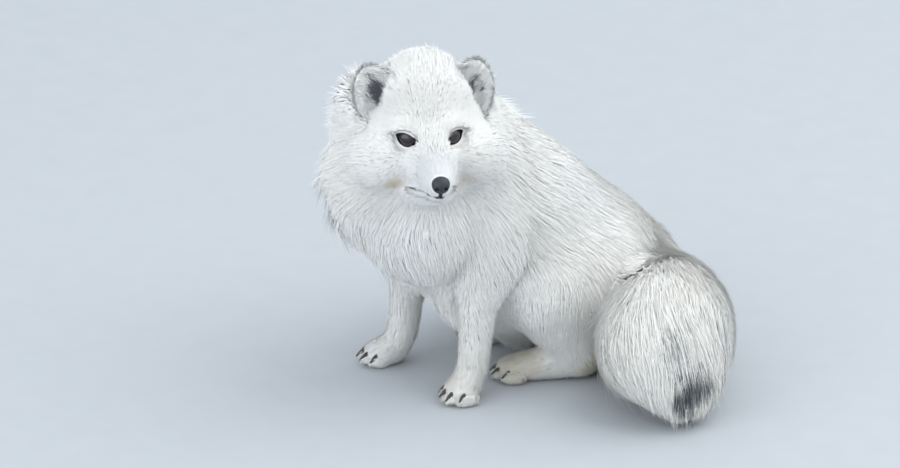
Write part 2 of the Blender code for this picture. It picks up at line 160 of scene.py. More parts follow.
groom_body("chest",
    ((0, -206, 196), (0, 0.05, -1), 26, 54, 1.3, 60),
    ((46, -186, 180), (0.15, 0.25, -1), 25, 52, 1.3, 60),
    ((0, -178, 140), (0, 0.35, -1), 22, 48, 1.3, 62),
    ((0, -130, 104), (0, 0.7, -0.7), 16, 36, 1.3, 66))
groom_body("back",
    ((0, -90, 296), (0, 0.85, -0.5), 24, 50, 1.3, 60),
    ((0, -10, 250), (0, 0.82, -0.57), 22, 48, 1.3, 60),
    ((0, 60, 190), (0, 0.75, -0.66), 21, 46, 1.3, 60),
    ((0, 130, 118), (0.1, 0.6, -0.8), 20, 44, 1.3, 60),
    ((0, 180, 60), (0.2, 0.3, -0.95), 16, 38, 1.3, 60))
groom_body("shoulder_*",
    ((76, -100, 240), (0.15, 0.6, -0.8), 23, 48, 1.3, 60),
    ((80, -90, 190), (0.05, 0.4, -0.95), 20, 44, 1.3, 62),
    ((76, -96, 140), (0, 0.35, -0.95), 13, 32, 1.2, 78),
    ((88, -40, 215), (0, 0.75, -0.65), 22, 46, 1.3, 60))
groom_body("flank_*",
    ((88, -30, 165), (0, 0.65, -0.75), 20, 44, 1.3, 60),
    ((88, 30, 180), (0.05, 0.7, -0.72), 20, 44, 1.3, 60),
    ((60, -50, 90), (0, 0.8, -0.5), 14, 34, 1.3, 64))
groom_body("haunch_*",
    ((104, 10, 120), (0.05, 0.35, -0.95), 18, 40, 1.3, 62),
    ((110, 50, 100), (0, 0.45, -0.9), 18, 40, 1.3, 62),
    ((92, -28, 96), (0, -0.1, -1), 14, 32, 1.2, 70),
    ((80, -52, 84), (0, 0.25, -1), 10, 24, 1.2, 85),
    ((84, 120, 90), (0.2, 0.5, -0.85), 19, 42, 1.3, 60),
    ((106, 60, 40), (0, 0.5, -0.85), 14, 34, 1.3, 66),
    ((84, 0, 60), (0, 0.2, -1), 10, 25, 1.2, 85))
groom_body("chest",
    ((0, -30, 40), (0, 1, -0.2), 12, 28, 1.3, 58))

groom_body("leg_*",
    ((62, -100, 110), (0, 0.3, -1), 8, 22, 1.1, 105),
    ((62, -130, 72), (0, 0.15, -1), 5, 15, 1.0, 150),
    ((62, -96, 72), (0, 0.45, -0.9), 7, 19, 1.0, 125),
    ((62, -128, 34), (0, 0, -1), 4.0, 13, 0.9, 180),
    ((62, -100, 30), (0, 0.5, -0.85), 5.5, 16, 1.0, 150),
    ((66, -148, 16), (0, -0.85, -0.5), 3.0, 9.5, 0.8, 250),
    ((66, -128, 24), (0, -0.75, -0.7), 3.5, 11, 0.8, 220),
    ((62, -110, 8), (0, 0.3, -0.9), 3.5, 11, 0.9, 180))
groom_body("hind_foot_*",
    ((92, 14, 20), (0, 0.8, -0.55), 6, 18, 1.0, 140),
    ((74, -22, 26), (-0.5, -0.75, -0.45), 4.0, 13, 0.9, 180),
    ((52, -56, 14), (-0.5, -0.8, -0.4), 3.0, 9.5, 0.8, 250))

groom_tail("tail_root",
    ((30, 140, 60), (0.9, -0.1, -0.3), 24, 50, 1.4, 55),
    ((80, 120, 110), (0.85, -0.4, -0.2), 26, 54, 1.4, 55),
    ((90, 150, 40), (0.9, -0.3, -0.2), 26, 54, 1.4, 55))
groom_tail("tail_brush",
    ((140, 80, 125), (0.75, -0.6, -0.25), 30, 60, 1.4, 54),
    ((170, 120, 60), (0.75, -0.6, -0.2), 30, 60, 1.4, 54),
    ((120, 40, 40), (0.75, -0.55, -0.25), 28, 56, 1.4, 54),
    ((200, 40, 135), (0.65, -0.5, -0.5), 31, 62, 1.4, 54))
groom_tail("tail_tip",
    ((250, 60, 70), (0.5, -0.45, -0.7), 30, 60, 1.4, 56),
    ((235, -20, 105), (0.5, -0.25, -0.8), 30, 58, 1.4, 58),
    ((190, -45, 60), (0.65, -0.1, -0.7), 28, 54, 1.4, 58),
    ((284, 0, 60), (0.1, -0.05, -1), 22, 44, 1.3, 64),
    ((268, -25, 25), (0.2, 0, -1), 14, 32, 1.3, 68))

REGIONS = sorted({row[0] for row in GROOMING})
guide_region = np.array([REGIONS.index(row[0]) for row in GROOMING])
guide_place = np.array([row[1] for row in GROOMING])
guide_run = np.array([row[2] for row in GROOMING])
guide_sizes = np.array([row[3:6] for row in GROOMING]) * MM
DEEPEST = 15 * MM
guide_sizes[:, 0] = DEEPEST * np.tanh(guide_sizes[:, 0] / DEEPEST)
guide_crowd = np.array([row[6] for row in GROOMING]) * 1e4


def nearness(points):
    """How much each noted place counts at each point: near places count most. Rows add to 1."""
    squares = (points ** 2).sum(1)[:, None] + (guide_place ** 2).sum(1)[None]
    gap = (squares - 2 * points @ guide_place.T).clip(0)
    weight = 1 / (gap + 0.007 ** 2) ** 2.2
    return weight / weight.sum(1, keepdims=True)


# ---------------------------------------------------------------- skin
# One hide over the whole fox, from the nose to the tail. It is the solid body drawn in by the depth of the
# coat, with toes, cupped ears, eye openings and a lip line, and it carries the same markings and painted
# muzzle shade as the fur that grows on it.

BODY_VOXEL, SKIN_VOXEL = 3 * MM, 2.2 * MM
SKIN_KEPT = 0.6
SEAM = 0.6
FLESH = ["trunk", "neck", "head", "tail", "ear_left", "ear_right"]
FLESH += [f"{part}_{hand}" for part in ("foreleg", "forepaw", "hindleg", "hindpaw") for hand in HANDS]
EYE_RADIUS = 12 * MM
EYE_SPLAY = math.radians(27.5)
LID_SLANT = math.radians(18)


def new_piece(name, mesh):
    piece = bpy.data.objects.new(name, mesh)
    bpy.context.scene.collection.objects.link(piece)
    return piece


def only(piece):
    bpy.ops.object.select_all(action="DESELECT")
    piece.select_set(True)
    bpy.context.view_layer.objects.active = piece


def worked(piece, kind, **settings):
    """A modifier added, set and applied."""
    only(piece)
    step = piece.modifiers.new(kind.lower(), kind)
    for setting, value in settings.items():
        setattr(step, setting, value)
    bpy.ops.object.modifier_apply(modifier=step.name)


def points_of(mesh):
    flat = np.empty(len(mesh.vertices) * 3)
    mesh.vertices.foreach_get("co", flat)
    return flat.reshape(-1, 3)


def set_points(mesh, points):
    mesh.vertices.foreach_set("co", points.ravel())
    mesh.update()


def normals_of(mesh):
    flat = np.empty(len(mesh.vertices) * 3)
    mesh.vertex_normals.foreach_get("vector", flat)
    return flat.reshape(-1, 3)


def edges_of(mesh):
    flat = np.empty(len(mesh.edges) * 2, np.int64)
    mesh.edges.foreach_get("vertices", flat)
    return flat.reshape(-1, 2)


def relaxed(values, edges, factor, rounds=1):
    """Each value moved towards the mean of its neighbours."""
    count = len(values)
    degree = np.bincount(edges.ravel(), minlength=count)[:, None]
    for _ in range(rounds):
        mean = np.stack([np.bincount(edges[:, 0], values[edges[:, 1], k], count)
                         + np.bincount(edges[:, 1], values[edges[:, 0], k], count)
                         for k in range(values.shape[1])], 1) / degree
        values = values + factor * (mean - values)
    return values


def unit(vectors):
    return vectors / np.linalg.norm(vectors, axis=-1, keepdims=True).clip(1e-9)


def smoothstep(value, low, high):
    t = np.clip((value - low) / (high - low), 0, 1)
    return t * t * (3 - 2 * t)


def fade(value, low, high):
    return 1 - smoothstep(value, low, high)


def distance(points, place):
    return np.linalg.norm(points - np.array(place), axis=1)


def on_side(points, side):
    return (points - np.array(EYE_LINE)) @ np.array(LEFTWARD) * side > 0


# The solid's pieces, merged and let out by half a millimetre so that the cuts between them close.
whole = bmesh.new()
for name in FLESH:
    if name.startswith("ear"):
        continue
    part = bmesh.new()
    part.from_mesh(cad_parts[name].data)
    bmesh.ops.remove_doubles(part, verts=part.verts, dist=1e-6)
    bmesh.ops.recalc_face_normals(part, faces=part.faces)
    moves = [v.normal * SEAM * MM for v in part.verts]
    for vertex, move in zip(part.verts, moves):
        vertex.co += move
    grown = bpy.data.meshes.new("grown")
    part.to_mesh(grown)
    part.free()
    whole.from_mesh(grown)
for centre in eye_centres.values():
    bmesh.ops.create_uvsphere(whole, u_segments=24, v_segments=16, radius=EYE_RADIUS + 1.2 * MM,
                              matrix=Matrix.Translation(centre))
hide = bpy.data.meshes.new("skin")
whole.to_mesh(hide)
whole.free()
skin = new_piece("skin", hide)
worked(skin, "REMESH", mode="VOXEL", voxel_size=BODY_VOXEL)
edges = edges_of(skin.data)
points = relaxed(points_of(skin.data), edges, 0.5, 8)
softened = relaxed(points, edges, 0.5, 16)
for side in (1, -1):
    by_ear = distance(points, face(-42, 46 * side, 42))
    share = fade(by_ear, 22 * MM, 46 * MM)
    points = points + (softened - points) * share[:, None]
set_points(skin.data, points)
for side in (1, -1):
    by_crown = distance(points, face(-48, 48 * side, 70))
    pull = np.array(-UP * 0.8 - LEFTWARD * 0.6 * side) * 12 * MM
    points = points + pull * fade(by_crown, 6 * MM, 46 * MM)[:, None]
by_crown = distance(points, face(-45, 0, 90))
points[:, 2] -= 4 * MM * fade(by_crown, 8 * MM, 44 * MM)
points = relaxed(points, edges, 0.5, 4)
filled = relaxed(points, edges, 0.5, 70)
by_tail = np.minimum(distance(points, body(94, 104, 112)), distance(points, body(113, 62, 108)))
points = points + (filled - points) * fade(by_tail, 26 * MM, 52 * MM)[:, None]
set_points(skin.data, points)
outer = BVHTree.FromPolygons([Vector(p) for p in points], [tuple(f.vertices) for f in skin.data.polygons])
outer_facing = normals_of(skin.data)[[f.vertices[0] for f in skin.data.polygons]]


def on_coat(places):
    """The nearest places on the coat's outer surface, and the way it faces there."""
    found = [outer.find_nearest(place) for place in places.tolist()]
    return np.array([hit[0] for hit in found]), outer_facing[[hit[2] for hit in found]]


# Drawn in by the coat's depth in small steps. Thick parts are also relaxed, so that creases stay open.
STEPS = 12
depth = (nearness(points) @ guide_sizes[:, 0])[:, None]
eye_gap = np.minimum(*[distance(points, centre) for centre in eye_centres.values()])
depth *= 0.2 + 0.8 * smoothstep(eye_gap, 16 * MM, 32 * MM)[:, None]
softness = 0.5 * np.clip((depth - 4 * MM) / (12 * MM), 0.04, 1)
for _ in range(STEPS):
    points = points - normals_of(skin.data) * depth / STEPS
    points = relaxed(points, edges, softness, 2)
    set_points(skin.data, points)

# Toes: four soft lobes under the claws of each foot.
TOES_POINT = {"forepaw_left": (-0.08, -1), "forepaw_right": (-0.34, -1), "hindpaw_left": (-0.58, -0.8),
              "hindpaw_right": (0.4, -0.92)}
extra = bmesh.new()
extra.from_mesh(skin.data)
for foot, (x, y) in TOES_POINT.items():
    way = Vector((x, y, 0)).normalized()
    side = Vector((-way.y, way.x, 0))
    middles = [sum(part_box(f"claw_{foot}_{number}"), Vector()) / 2 for number in (1, 2, 3, 4)]
    for middle in middles:
        middle = middle.lerp(sum(middles, Vector()) / 4, 0.14)
        centre = Vector((middle.x, middle.y, 8.5 * MM)) - way * 11.5 * MM
        axes = Matrix((way, side, UP)).transposed().to_4x4()
        lobe = Matrix.Diagonal((0.0125, 0.0052, 0.0066, 1))
        bmesh.ops.create_uvsphere(extra, u_segments=16, v_segments=10, radius=1,
                                  matrix=Matrix.Translation(centre) @ axes @ lobe)

# Ears: a short round leaf, cupped forward, 3 mm thick.
EAR_TIP = {hand: face(-54, 56 * side, 61.5) for hand, side in HANDS.items()}
EAR_FOOT = {hand: face(-29, 48.5 * side, 15) for hand, side in HANDS.items()}
EAR_ROOT = 16 * MM
EAR_AXES = {}
EAR_LEAF = {}
for hand, side in HANDS.items():
    rise = (EAR_TIP[hand] - EAR_FOOT[hand]).normalized()
    outward = AHEAD * -0.25 + LEFTWARD * side
    outward = (outward - outward.dot(rise) * rise).normalized()
    back = rise.cross(outward) * side
    EAR_AXES[hand] = (rise, outward, back)
    length = (EAR_TIP[hand] - EAR_FOOT[hand]).length
    ROWS, ACROSS = 17, 17
    grids = []
    for thick in (0, 1):
        rows = []
        for r in range(ROWS):
            up = (length + EAR_ROOT) * math.sin(math.pi / 2 * r / (ROWS - 1) * 0.985) - EAR_ROOT
            t = max(up / length, 0)
            below = max(-up / EAR_ROOT, 0)
            width = 22.5 * math.sqrt(1 - t ** 3.2) * min(1, 0.78 + 0.6 * t) * (1 - 0.5 * below) * MM
            cup = (10.5 * math.sqrt(1 - t ** 2) + 1.5) * MM
            centre = EAR_FOOT[hand] + rise * up + back * below * 12 * MM
            row = []
            for k in range(ACROSS):
                a = math.pi * k / (ACROSS - 1)
                rim = math.sin(a) ** 0.5
                wall = (2.8 + 0.6 * rim) * MM * thick
                point = centre + outward * (width - wall * 0.6) * math.cos(a)
                point = point + back * ((cup - wall) * math.sin(a))
                row.append(extra.verts.new(point - back * 0.8 * MM * thick))
            rows.append(row)
        grids.append(rows)
    EAR_LEAF[hand] = np.array([[v.co for v in row] for row in grids[0]])
    for thick, rows in enumerate(grids):
        for lower, upper in zip(rows, rows[1:]):
            for k in range(ACROSS - 1):
                extra.faces.new((lower[k], lower[k + 1], upper[k + 1], upper[k]))
    outer_rows, inner_rows = grids
    for k in range(ACROSS - 1):
        extra.faces.new((outer_rows[0][k], outer_rows[0][k + 1], inner_rows[0][k + 1], inner_rows[0][k]))
        extra.faces.new((outer_rows[-1][k], outer_rows[-1][k + 1], inner_rows[-1][k + 1], inner_rows[-1][k]))
    for lower, upper, low_in, up_in in zip(outer_rows, outer_rows[1:], inner_rows, inner_rows[1:]):
        for k in (0, ACROSS - 1):
            extra.faces.new((lower[k], upper[k], up_in[k], low_in[k]))
bmesh.ops.recalc_face_normals(extra, faces=extra.faces)
extra.to_mesh(skin.data)
extra.free()
worked(skin, "REMESH", mode="VOXEL", voxel_size=SKIN_VOXEL)
edges = edges_of(skin.data)
points = relaxed(points_of(skin.data), edges, 0.5, 2)
set_points(skin.data, points)

# Finer faces round the eyes and over the muzzle. The lids and the lip line are pressed in, and the mesh is
# thinned.
GAZE = {}
for hand, side in HANDS.items():
    gaze = AHEAD * math.cos(EYE_SPLAY) + LEFTWARD * side * math.sin(EYE_SPLAY)
    level = UP.cross(gaze) * side
    corner = (level * math.cos(LID_SLANT) + UP * math.sin(LID_SLANT)).normalized()
    GAZE[hand] = Matrix((gaze, corner, gaze.cross(corner)))
LID_WIDTH, LID_HEIGHT = 12 * MM, 6.6 * MM


def lid_place(points, hand):
    """Each point along gaze, corner and height from the eye's centre, and how far outside the almond."""
    local = (points - np.array(eye_centres[hand])) @ np.array(GAZE[hand]).T
    across = local[:, 1] / LID_WIDTH
    droop = 1.8 * MM * smoothstep(-across, 0.35, 1.0)
    half = LID_HEIGHT * np.clip(1 - across ** 2, 0, 1) ** 0.8
    outside = np.abs(local[:, 2] + droop) - half
    beyond = np.hypot((np.abs(across) - 1).clip(0) * LID_WIDTH, np.abs(local[:, 2] + droop))
    outside = np.where(np.abs(across) < 1, outside, beyond)
    outside = np.where((local[:, 0] > 0) & (np.linalg.norm(local, axis=1) < 26 * MM), outside, 1.0)
    return local, outside


def beyond_lids(points):
    return np.minimum(*[lid_place(points, hand)[1] for hand in HANDS])


PHILTRUM = [(68, 0, -35), (66, 0, -45)]
LIPS = [(66, 0, -45), (60, 9, -45.5), (50, 16, -46.5), (30, 24, -49), (12, 29, -51), (3, 33, -50)]


def lip_distance(points):
    """Distance to the lip line as it runs over the skin, and how far along it from the front, from 0 to 1."""
    gap, along = np.full(len(points), 9.0), np.zeros(len(points))
    near = distance(points, face(36, 0, -42)) < 56 * MM
    found = [lip_tree.find(place) for place in points[near].tolist()]
    gap[near] = [hit[2] for hit in found]
    along[near] = [lip_along[hit[1]] for hit in found]
    return gap, along


fine = bmesh.new()
fine.from_mesh(skin.data)
for reach in (26 * MM, 17 * MM, 15 * MM):
    near = [e for e in fine.edges
            if min((e.verts[0].co - eye_centres[hand] - GAZE[hand][0] * EYE_RADIUS).length
                   for hand in HANDS) < reach
            or (reach > 20 * MM and (e.verts[0].co - face(48, 0, -36)).length < 34 * MM)]
    bmesh.ops.subdivide_edges(fine, edges=near, cuts=1, use_grid_fill=True)
bmesh.ops.triangulate(fine, faces=[f for f in fine.faces if len(f.verts) > 4])
fine.to_mesh(skin.data)
fine.free()
points = points_of(skin.data)
edges = edges_of(skin.data)
for _ in range(2):
    for hand, side in HANDS.items():
        local, outside = lid_place(points, hand)
        near = outside < 9 * MM
        smoothed = relaxed(points, edges, 0.5, 3)
        points[near] = smoothed[near]
        local, outside = lid_place(points, hand)
        near = outside < 9 * MM
        across = local[:, 1].clip(-0.9 * LID_WIDTH, 0.9 * LID_WIDTH)
        over_eye = np.minimum(np.abs(local[:, 2]), LID_HEIGHT * (1 - (across / LID_WIDTH) ** 2) ** 0.8)
        lid = np.sqrt((EYE_RADIUS + 1.3 * MM) ** 2 - 0.81 * across ** 2 - over_eye ** 2)
        over = smoothstep(-outside, -6.5 * MM, -0.2 * MM)
        filled = (local[:, 0] < lid) * fade(outside, 2 * MM, 9 * MM)
        height = local[:, 0] + (lid - local[:, 0]) * np.maximum(over, filled)
        height -= 2.2 * MM * smoothstep(-outside, -0.2 * MM, 1.0 * MM)
        local[:, 0] = np.where(near, height, local[:, 0])
        moved = local @ np.array(GAZE[hand]) + np.array(eye_centres[hand])
        points[near] = moved[near]
set_points(skin.data, points)
hide_tree = BVHTree.FromPolygons(points.tolist(), [tuple(f.vertices) for f in skin.data.polygons])
lip_spots, lip_along = [], []
for line in ([face(*place) for place in PHILTRUM],
             *([face(a, b * side, c) for a, b, c in LIPS] for side in (1, -1))):
    for k, (start, end) in enumerate(zip(line, line[1:])):
        for t in np.linspace(0, 1, 40):
            lip_spots.append(hide_tree.find_nearest(start.lerp(end, t))[0])
            lip_along.append((k + t) / (len(line) - 1) if len(line) > 2 else 0.0)
lip_tree = KDTree(len(lip_spots))
for index, place in enumerate(lip_spots):
    lip_tree.insert(place, index)
lip_tree.balance()
gap, along = lip_distance(points)
groove = fade(gap, 0.3 * MM, 1.8 * MM) * (1 - 0.6 * along)
points = points - normals_of(skin.data) * (groove * 1.6 * MM)[:, None]
set_points(skin.data, points)
worked(skin, "DECIMATE", ratio=SKIN_KEPT)
points = points_of(skin.data)
skin.data.shade_smooth()
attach(skin, "root")
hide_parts(*FLESH)


class Value:
    """A socket of a finish. Arithmetic on it adds Math nodes."""

    def __init__(self, finish, socket):
        self.finish, self.socket = finish, socket

    def __add__(self, other):
        return self.finish.math("ADD", self, other)

    def __mul__(self, other):
        return self.finish.math("MULTIPLY", self, other)

    __radd__ = __add__
    __rmul__ = __mul__


class Finish:
    """A material under construction, on one Principled shader."""

    def __init__(self, name, **constants):
        self.material = bpy.data.materials.new(name)
        self.material.use_nodes = True
        self.tree = self.material.node_tree
        self.shader = self.tree.nodes["Principled BSDF"]
        for socket, value in constants.items():
            self.shader.inputs[socket.replace("_", " ")].default_value = value

    def node(self, kind, settings=None, output=0, **sockets):
        made = self.tree.nodes.new(kind)
        for setting, value in (settings or {}).items():
            setattr(made, setting, value)
        for socket, value in sockets.items():
            slot = made.inputs[int(socket[1:]) if socket[1:].isdigit() else socket.replace("_", " ")]
            if isinstance(value, Value):
                self.tree.links.new(value.socket, slot)
            else:
                slot.default_value = value
        return Value(self, made.outputs[output])

    def math(self, operation, first, second):
        return self.node("ShaderNodeMath", {"operation": operation}, i0=first, i1=second)

    def mix(self, share, first, second):
        first, second = [(*c, 1) if isinstance(c, tuple) else c for c in (first, second)]
        return self.node("ShaderNodeMix", {"data_type": "RGBA"}, output=2, i0=share, i6=first, i7=second)

    def step(self, value, low, high):
        return self.node("ShaderNodeMapRange", {"interpolation_type": "SMOOTHSTEP"}, Value=value,
                         From_Min=low, From_Max=high)

    def noise(self, where, scale, detail=2.0):
        return self.node("ShaderNodeTexNoise", Vector=where, Scale=scale, Detail=detail)

    def place(self, turn=(0, 0, 0), stretch=(1, 1, 1)):
        """Places on the piece, turned and stretched."""
        spot = self.node("ShaderNodeTexCoord", output=3)
        return self.node("ShaderNodeMapping", Vector=spot, Rotation=turn, Scale=stretch)

    def attribute(self, name, output=0):
        return self.node("ShaderNodeAttribute", {"attribute_name": name}, output=output)

    def set(self, **sockets):
        for socket, value in sockets.items():
            self.tree.links.new(value.socket, self.shader.inputs[socket.replace("_", " ")])

    def bump(self, height, distance, strength=0.5):
        self.set(Normal=self.node("ShaderNodeBump", Height=height, Distance=distance, Strength=strength))


# Markings, shared by the skin and the fur: white, with a dark tail tip, smoky ear cups, faint stains and
# painted shade on the muzzle.
WHITE = np.array([0.90, 0.905, 0.90])
SMOKE = (0.060, 0.068, 0.085)
BLACK = (0.012, 0.012, 0.015)
waves = np.random.default_rng(5)
WAVE_WAYS = waves.normal(size=(24, 3))
WAVE_TURNS = waves.uniform(0, math.tau, 24)


def ripple(points, size):
    """A smooth wandering value about 0, with features of this size in metres."""
    return np.sin(points @ WAVE_WAYS.T * (1.6 / size) + WAVE_TURNS).sum(1) / 4.9


def painted(colour, over, share):
    return over + (np.array(colour) - over) * np.clip(share, 0, 1)[:, None]


def spot(points, centre, inner, outer_reach, rough=0.0, size=0.01):
    gap = distance(points, centre) / MM + rough * ripple(points, size)
    return fade(gap, inner, outer_reach)


def ear_place(points):
    """How far up and how far across an ear each point is, for points within 5 mm of a leaf, else -1."""
    height = np.full(len(points), -1.0)
    across = np.zeros(len(points))
    for hand in HANDS:
        leaf = EAR_LEAF[hand]
        tree = KDTree(leaf.shape[0] * leaf.shape[1])
        for index, spot_on_leaf in enumerate(leaf.reshape(-1, 3)):
            tree.insert(spot_on_leaf, index)
        tree.balance()
        near = np.linalg.norm(points - leaf.reshape(-1, 3).mean(0), axis=1) < 45 * MM
        for k in np.nonzero(near)[0]:
            _, index, gap = tree.find(points[k])
            row, column = divmod(index, leaf.shape[1])
            if gap < 5.5 * MM:
                height[k] = row / (leaf.shape[0] - 1)
                across[k] = column / (leaf.shape[1] - 1)
    return height, across


def lip_ink(gap, along):
    """How dark the lips are: black in front, then a fine line with two darker patches."""
    patches = fade(np.minimum(np.abs(along - 0.42), np.abs(along - 0.76)), 0.03, 0.09)
    strength = np.maximum(1 - 0.55 * smoothstep(along, 0.14, 0.30), patches)
    front = fade(along, 0.10, 0.24)
    edge = fade(gap, (1.0 + 0.5 * front) * MM, (1.9 + 0.7 * np.maximum(patches, front)) * MM)
    return edge * strength * fade(along, 0.82, 0.98)


def ear_spot(points):
    """How far out from the middle, how far up and how far back of its ear each place is, in millimetres."""
    best = np.full((len(points), 3), 999.0)
    for hand, side in HANDS.items():
        rise, outward, back = EAR_AXES[hand]
        local = (points - np.array(EAR_FOOT[hand])) / MM @ np.array([outward, rise, back]).T
        mine = on_side(points, side)
        best[mine] = local[mine]
    return best


def ear_smoke(points):
    """How smoky an ear's inside is: a dark hollow, darker on the fox's right, and a grey band above."""
    out, up, back = ear_spot(points).T
    rough = 3.0 * ripple(points, 0.007)
    right = (points - np.array(EYE_LINE)) @ np.array(LEFTWARD) < 0
    hollow = fade(np.hypot((out + 1) / 1.0, (up - 27) / 1.45) + rough,
                  np.where(right, 7, 3.5), np.where(right, 13.5, 9))
    band = fade(np.abs(np.hypot(out * 0.85, up - 26) - 22) + rough, 1.0, 4.5)
    band *= smoothstep(up, 26, 42) * np.where(right, 1.0, 0.7)
    inside = (np.abs(out) < 26) & (up > 4) & (np.abs(back) < 26)
    return np.maximum(hollow, 0.5 * band) * inside


def markings_and_shade(points, chance):
    """The colour at each place on the coat's surface. Chance, from 0 to 1, sets single tufts apart."""
    colour = np.tile(WHITE, (len(points), 1))
    colour = painted((0.88, 0.865, 0.80), colour, 0.5 * (0.5 + 0.5 * ripple(points, 0.06)))
    heel = spot(points, body(100, 12, 14), 12, 30, 5) + spot(points, body(-92, 60, 14), 12, 30, 5)
    colour = painted((0.62, 0.57, 0.36), colour, 0.62 * heel * (0.5 + chance))
    toes = spot(points, body(60, -52, 16), 16, 34, 5) + spot(points, body(-60, -10, 16), 16, 34, 5)
    colour = painted((0.68, 0.61, 0.44), colour, 0.52 * toes * (0.5 + chance))
    # Painted shade: a cool grey over the muzzle, where the short fur lies in slight shade.
    colour = painted((0.66, 0.71, 0.76), colour, 0.5 * spot(points, face(42, 0, -26), 8, 58))
    for side, strength in ((1, 0.3), (-1, 0.6)):
        stain = spot(points, face(4, 38.5 * side, -45.5), 3, 14, 3, 0.008)
        colour = painted((0.66, 0.53, 0.33), colour, strength * stain)
    tip = spot(points, body(276, -8, 43), 13, 27, 5, 0.012)
    colour = painted(SMOKE, colour, tip * (0.75 + 0.4 * chance))
    flecks = spot(points, body(274, -20, 84), 10, 38, 6, 0.012) * (chance > 0.66)
    return painted((0.22, 0.23, 0.25), colour, 0.75 * flecks)


chance = np.random.default_rng(3).uniform(size=len(points))
colours = markings_and_shade(on_coat(points)[0], chance * 0 + 0.5)
outside = beyond_lids(points)
colours = painted(BLACK, colours, fade(outside, 0.5 * MM, 1.1 * MM))
colours = painted((0.030, 0.030, 0.040), colours, smoothstep(-outside, 0.8 * MM, 1.4 * MM))
gap, along = lip_distance(points)
colours = painted(BLACK, colours, lip_ink(gap, along))
ear_height, ear_across = ear_place(points)
ears_forward = np.zeros(len(points), bool)
skin_normals = normals_of(skin.data)
for hand, side in HANDS.items():
    rise, outward, back = [np.array(v) for v in EAR_AXES[hand]]
    this_side = on_side(points, side)
    ears_forward |= (skin_normals @ back < 0.1) & (ear_height >= 0.0) & this_side
within = smoothstep(np.minimum(ear_across, 1 - ear_across), 0.05, 0.18) * fade(ear_height, 0.70, 0.84)
colours = painted((0.10, 0.10, 0.115), colours, 0.85 * ears_forward * within * ear_smoke(points))
ink = skin.data.attributes.new("colour", "FLOAT_COLOR", "POINT")
ink.data.foreach_set("color", np.column_stack([colours, np.ones(len(points))]).astype(np.float32).ravel())

hide_finish = Finish("skin_white", Roughness=0.8, Subsurface_Weight=0.25,
                     Subsurface_Radius=(0.008, 0.008, 0.009), Specular_IOR_Level=0.2)
strands = hide_finish.noise(hide_finish.place(turn=(0, 0, -HEAD_TURN), stretch=(1, 0.35, 1)), 900, 3)
hide_finish.set(Base_Color=hide_finish.attribute("colour"))
hide_finish.bump(strands, 0.0012, 0.6)
skin.data.materials.append(hide_finish.material)


# ---------------------------------------------------------------- eyes
# Dark brown, nearly black glossy eyes with a clear bulge in front, deep between the lids.

EYE_RINGS, EYE_SIDES = 40, 64
for hand in HANDS:
    bpy.ops.object.select_all(action="DESELECT")
    bpy.ops.mesh.primitive_uv_sphere_add(segments=EYE_SIDES, ring_count=EYE_RINGS, radius=1)
    eye = bpy.context.object
    eye.name = f"eyeball_{hand}"
    ball = points_of(eye.data)
    bulge = 1 + 0.07 * smoothstep(ball[:, 2], 0.55, 0.95)
    turn = np.array([GAZE[hand][1], GAZE[hand][2], GAZE[hand][0]])
    set_points(eye.data, (ball * bulge[:, None]) @ turn * EYE_RADIUS + np.array(eye_centres[hand]))
    eye.data.shade_smooth()
    wet = Finish(f"eye_{hand}", Roughness=0.2, Coat_Weight=0.25, Coat_Roughness=0.05, Specular_IOR_Level=0.5)
    inward = wet.node("ShaderNodeVectorMath", {"operation": "DISTANCE"}, output=1,
                      i0=wet.place(), i1=eye_centres[hand] + GAZE[hand][0] * EYE_RADIUS)
    fibres = wet.noise(wet.place(), 700, 3)
    iris = wet.mix(fibres, (0.022, 0.016, 0.022), (0.038, 0.028, 0.038))
    colour = wet.mix(wet.step(inward, 0.0026, 0.0038), BLACK, iris)
    colour = wet.mix(wet.step(inward, 0.0074, 0.0092), colour, BLACK)
    wet.set(Base_Color=colour)
    eye.data.materials.append(wet.material)
    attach(eye, "root")
    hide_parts(f"eye_{hand}")


# ---------------------------------------------------------------- nose
# The bare leather pad: broad and flat above, with a comma-shaped nostril at each side and a groove down the
# middle.

NOSE = face(66.5, 0, -26)
bpy.ops.object.select_all(action="DESELECT")
bpy.ops.mesh.primitive_uv_sphere_add(segments=96, ring_count=64, radius=1)
nose = bpy.context.object
nose.name = "nose_pad"
pad = points_of(nose.data)
ahead, left, up = pad[:, 0], pad[:, 1], pad[:, 2]
wide = 1 + 0.10 * np.clip(up, -1, 0.6)
shape = np.column_stack([ahead * (8.2 - 1.2 * np.clip(up, 0, 1)), left * 9.3 * wide,
                         np.sign(up) * np.abs(up) ** 0.9 * 9.2])
middle_groove = np.exp(-(left / 0.07) ** 2) * smoothstep(-up, -0.25, 0.35) * (ahead > 0)
shape[:, 0] -= 1.3 * middle_groove
for side in (1, -1):
    hole = ((left - 0.50 * side) / 0.24) ** 2 + ((up + 0.10 + 0.25 * np.abs(left)) / 0.19) ** 2
    slit = ((left - 0.80 * side) / 0.22) ** 2 + ((up + 0.36) / 0.10) ** 2
    shape[:, 0] -= (ahead > 0) * (4.2 * fade(hole, 0.35, 1.25) + 2.0 * fade(slit, 0.3, 1.3))
axes = np.array([AHEAD, LEFTWARD, UP])
set_points(nose.data, shape @ axes * MM + np.array(NOSE))
nose.data.shade_smooth()
leather = Finish("nose_leather", Roughness=0.42, Coat_Weight=0.15, Coat_Roughness=0.3)
grain = leather.node("ShaderNodeTexVoronoi", Vector=leather.place(), Scale=1500)
tone = leather.noise(leather.place(), 260, 3)
leather.set(Base_Color=leather.mix(tone, (0.010, 0.012, 0.018), (0.026, 0.030, 0.042)),
            Roughness=0.36 + 0.2 * tone)
leather.bump(grain, 0.0003, 0.6)
nose.data.materials.append(leather.material)
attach(nose, "root")
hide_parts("nose")


# ---------------------------------------------------------------- claws
# Dark curved horn, one on each of the four toes of a foot, thick at the root and worn to a blunt point.

